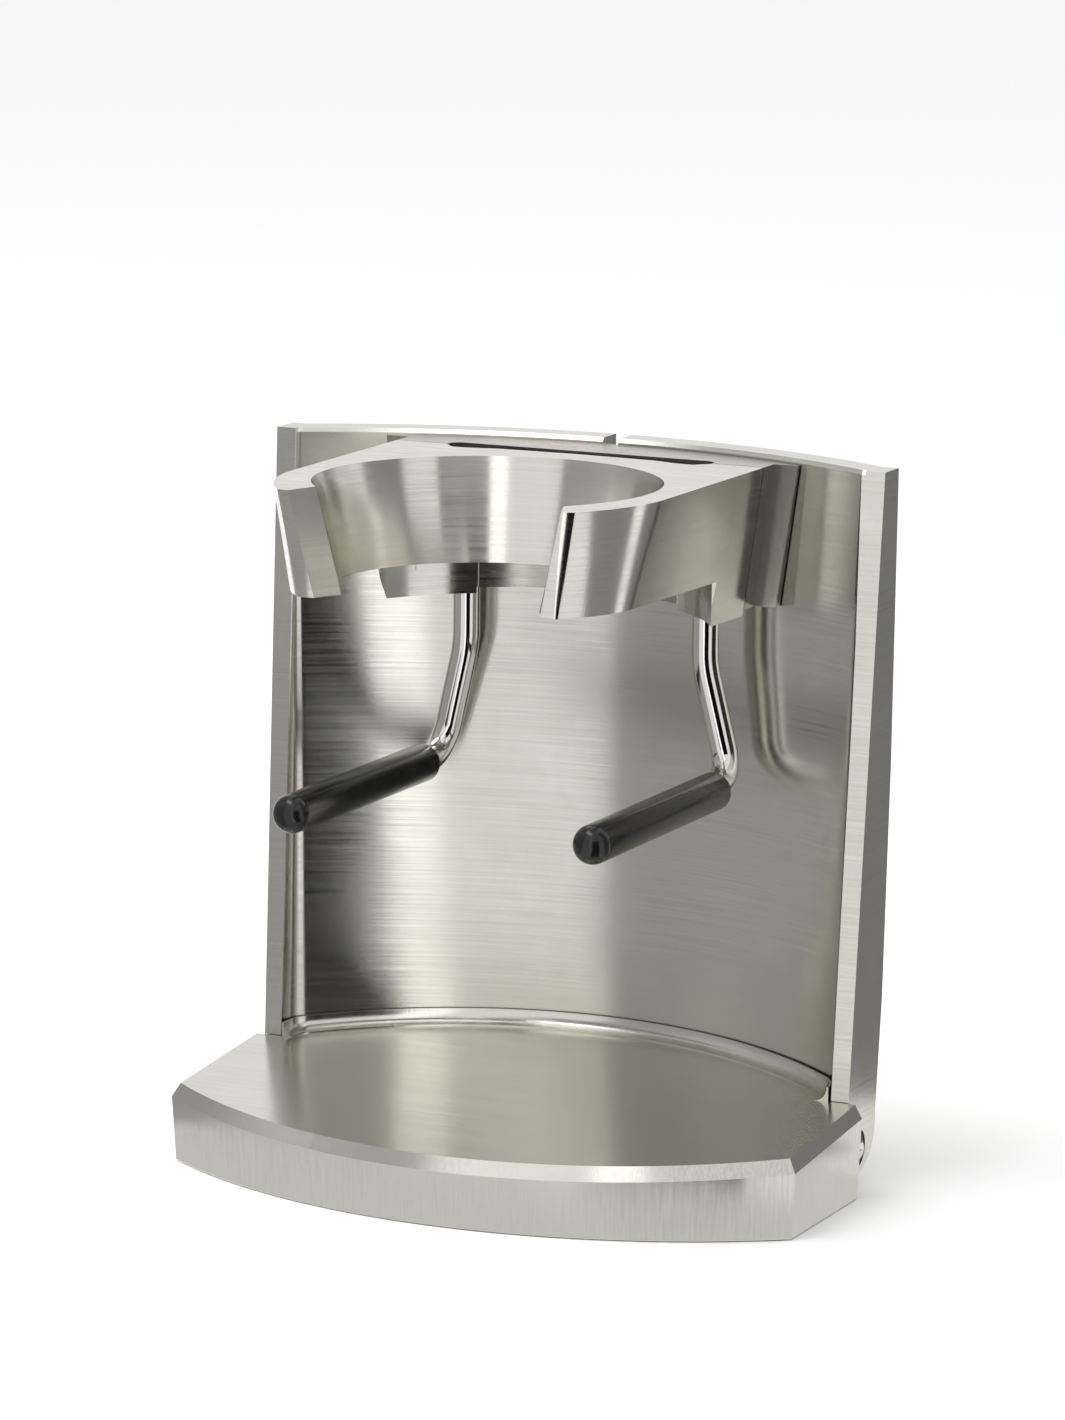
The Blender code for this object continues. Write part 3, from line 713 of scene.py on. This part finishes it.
# ---------------------------------------------------------------- studio
def screen(name, first, last, profile, strength):
    """A curved screen on part of a circle round the object: reflected, but not seen by the camera."""
    steps = 24
    rows = len(profile)
    verts, faces = [], []
    for i in range(steps + 1):
        turn = math.radians(first + (last - first) * i / steps)
        verts += [(radius * math.sin(turn), -radius * math.cos(turn), height) for radius, height in profile]
    for i in range(steps):
        for j in range(rows - 1):
            corner = i * rows + j
            faces.append((corner, corner + rows, corner + rows + 1, corner + 1))
    mesh = bpy.data.meshes.new(name)
    mesh.from_pydata(verts, [], faces)
    obj = bpy.data.objects.new(name, mesh)
    bpy.context.scene.collection.objects.link(obj)
    material = bpy.data.materials.new(name)
    material.use_nodes = True
    tree = material.node_tree
    tree.nodes.clear()
    glow = add_node(tree, "ShaderNodeEmission", Color=(1.0, 1.0, 1.0, 1.0), Strength=strength)
    output = tree.nodes.new("ShaderNodeOutputMaterial")
    tree.links.new(glow.outputs[0], output.inputs["Surface"])
    mesh.materials.append(material)
    obj.visible_camera = False
    obj.visible_shadow = False
    obj.visible_diffuse = False


def build_studio():
    bpy.ops.mesh.primitive_plane_add(size=12.0, location=(0.0, 0.0, 0.0))
    floor = bpy.context.object
    floor.name = "floor"
    pale = bpy.data.materials.new("floor_white")
    pale.use_nodes = True
    shader = pale.node_tree.nodes["Principled BSDF"]
    shader.inputs["Base Color"].default_value = (0.96, 0.96, 0.96, 1.0)
    shader.inputs["Roughness"].default_value = 1.0
    shader.inputs["Specular IOR Level"].default_value = 0.0
    paint(floor, pale)
    for name, *place in SCREENS:
        screen(name, *place)
    for name, azimuth, elevation, size, power in LAMPS:
        turn, lift = math.radians(azimuth), math.radians(elevation)
        away = Vector((math.sin(turn) * math.cos(lift), -math.cos(turn) * math.cos(lift), math.sin(lift)))
        light = bpy.data.lights.new(name, "AREA")
        light.shape = "SQUARE"
        light.size = size
        light.energy = power
        lamp = bpy.data.objects.new(name, light)
        lamp.location = away * 1.6
        lamp.rotation_euler = away.to_track_quat("Z", "Y").to_euler()
        lamp.visible_camera = False
        bpy.context.scene.collection.objects.link(lamp)
    world = bpy.data.worlds.new("studio")
    world.use_nodes = True
    background = world.node_tree.nodes["Background"]
    background.inputs["Color"].default_value = (1.0, 1.0, 1.0, 1.0)
    background.inputs["Strength"].default_value = WORLD_STRENGTH
    bpy.context.scene.world = world
    bpy.context.scene.view_settings.view_transform = "Standard"


def build_camera():
    camera = bpy.data.cameras.new("camera")
    camera.lens = CAMERA_LENS
    camera.sensor_width = 36.0
    camera.clip_end = 50.0
    obj = bpy.data.objects.new("camera", camera)
    turn, tilt, roll = (math.radians(angle) for angle in CAMERA_ANGLES)
    obj.matrix_world = (Matrix.Translation(CAMERA_PLACE) @ Matrix.Rotation(turn, 4, "Z")
                        @ Matrix.Rotation(math.pi / 2 - tilt, 4, "X") @ Matrix.Rotation(roll, 4, "Z"))
    bpy.context.scene.collection.objects.link(obj)
    bpy.context.scene.camera = obj


# Camera: metres, and degrees of turn, downward tilt and roll
CAMERA_LENS = 160.07
CAMERA_PLACE = Vector((0.6041, -1.3133, 0.3818))
CAMERA_ANGLES = (24.63, 10.57, 0.60)
WORLD_STRENGTH = 0.95

# Screens: first and last azimuth in degrees, profile of (radius, height) in metres, strength.
# Azimuth 0 is in front, and + is to the right.
TALL = ((0.105, 0.0012), (0.42, 0.006), (0.46, 0.9))
LOW = ((0.105, 0.0012), (0.42, 0.006), (0.46, 0.30))
BEHIND = ((0.14, 0.002), (0.45, 0.01), (0.45, 0.20))
NEAR_FLOOR = ((0.02, 0.0002), (0.105, 0.0006))
SCREENS = (
    ("screen_left", -120.0, -28.0, TALL, 0.38),
    ("screen_key", -28.0, 10.0, TALL, 0.95),
    ("screen_highlight", 10.0, 22.0, TALL, 1.6),
    ("screen_near", 22.0, 58.0, LOW, 0.002),
    ("screen_right", 58.0, 84.0, TALL, 1.0),
    ("screen_side", 84.0, 118.0, TALL, 0.28),
    ("screen_back_right", 128.0, 178.0, BEHIND, 0.22),
    ("screen_floor", -110.0, 110.0, NEAR_FLOOR, 0.74),
)

# Lamps: azimuth, elevation, size, power
LAMPS = (("lamp_top", -35.0, 62.0, 0.9, 9.0), ("lamp_left", -75.0, 40.0, 0.7, 7.0))


def main():
    panel_metal = brushed_metal("brushed_panel", (0.73, 0.72, 0.66), (0.61, 0.60, 0.54), 0.20,
                                (22.0, 22.0, 2000.0), (22.0, 2000.0, 22.0), 0.000007,
                                spread=0.05, stretch=0.85)
    base_metal = brushed_metal("brushed_base", (0.70, 0.69, 0.635), (0.64, 0.63, 0.575), 0.20,
                               (1700.0, 1700.0, 35.0), (26.0, 2200.0, 26.0), 0.000004,
                               spread=0.05, stretch=0.8)
    yoke_metal = brushed_metal("brushed_yoke", (0.72, 0.71, 0.655), (0.62, 0.61, 0.555), 0.19,
                               (30.0, 30.0, 2100.0), (110.0, 700.0, 110.0), 0.000006,
                               spread=0.05, stretch=0.8)
    block_metal = brushed_metal("cast_block", (0.47, 0.46, 0.41), (0.33, 0.32, 0.28), 0.22,
                                (90.0, 90.0, 2200.0), (90.0, 900.0, 90.0), 0.000006, pits=1.0)
    rod_metal = brushed_metal("polished_bar", (0.72, 0.71, 0.69), (0.66, 0.65, 0.63), 0.09,
                              (500.0, 500.0, 90.0), (500.0, 90.0, 500.0), 0.000004, spread=0.03)
    screw_metal = brushed_metal("black_oxide", (0.09, 0.09, 0.09), (0.06, 0.06, 0.06), 0.34,
                                (300.0, 300.0, 300.0), (300.0, 300.0, 300.0), 0.00001)
    bush_metal = brushed_metal("dark_bush", (0.07, 0.068, 0.062), (0.04, 0.04, 0.036), 0.40,
                               (400.0, 400.0, 400.0), (400.0, 400.0, 400.0), 0.00001)
    sleeve_rubber = gloss_rubber()
    pad_rubber = matt_rubber()

    finish(build_base(base_metal, "base_body"), "base", ["base_casting"], 0.35)
    finish(build_shell(panel_metal, "back_panel"), "back", ["back_shell"])
    finish(build_yoke(yoke_metal, "yoke_body"), "back", ["yoke_ring"], 0.30)
    finish(build_block(block_metal, "block_body"), "back", ["mounting_block"], 0.30)
    for label, side in SIDES:
        finish(build_arm(f"arm_bar_{label}", side, rod_metal), "back", [f"arm_{label}"])
        sleeve = build_sleeve(f"sleeve_cap_{label}", side, sleeve_rubber)
        finish(sleeve, "back", [f"sleeve_{label}"])
        repaint(f"pivot_pin_{label}", rod_metal)
        repaint(f"pivot_bush_{label}", bush_metal)
        for node in (f"cap_screw_{label}_low", f"cap_screw_{label}_high", f"dowel_{label}",
                     f"grub_screw_{label}"):
            repaint(node, screw_metal)
    repaint("base_pad", pad_rubber)
    build_studio()
    build_camera()


main()
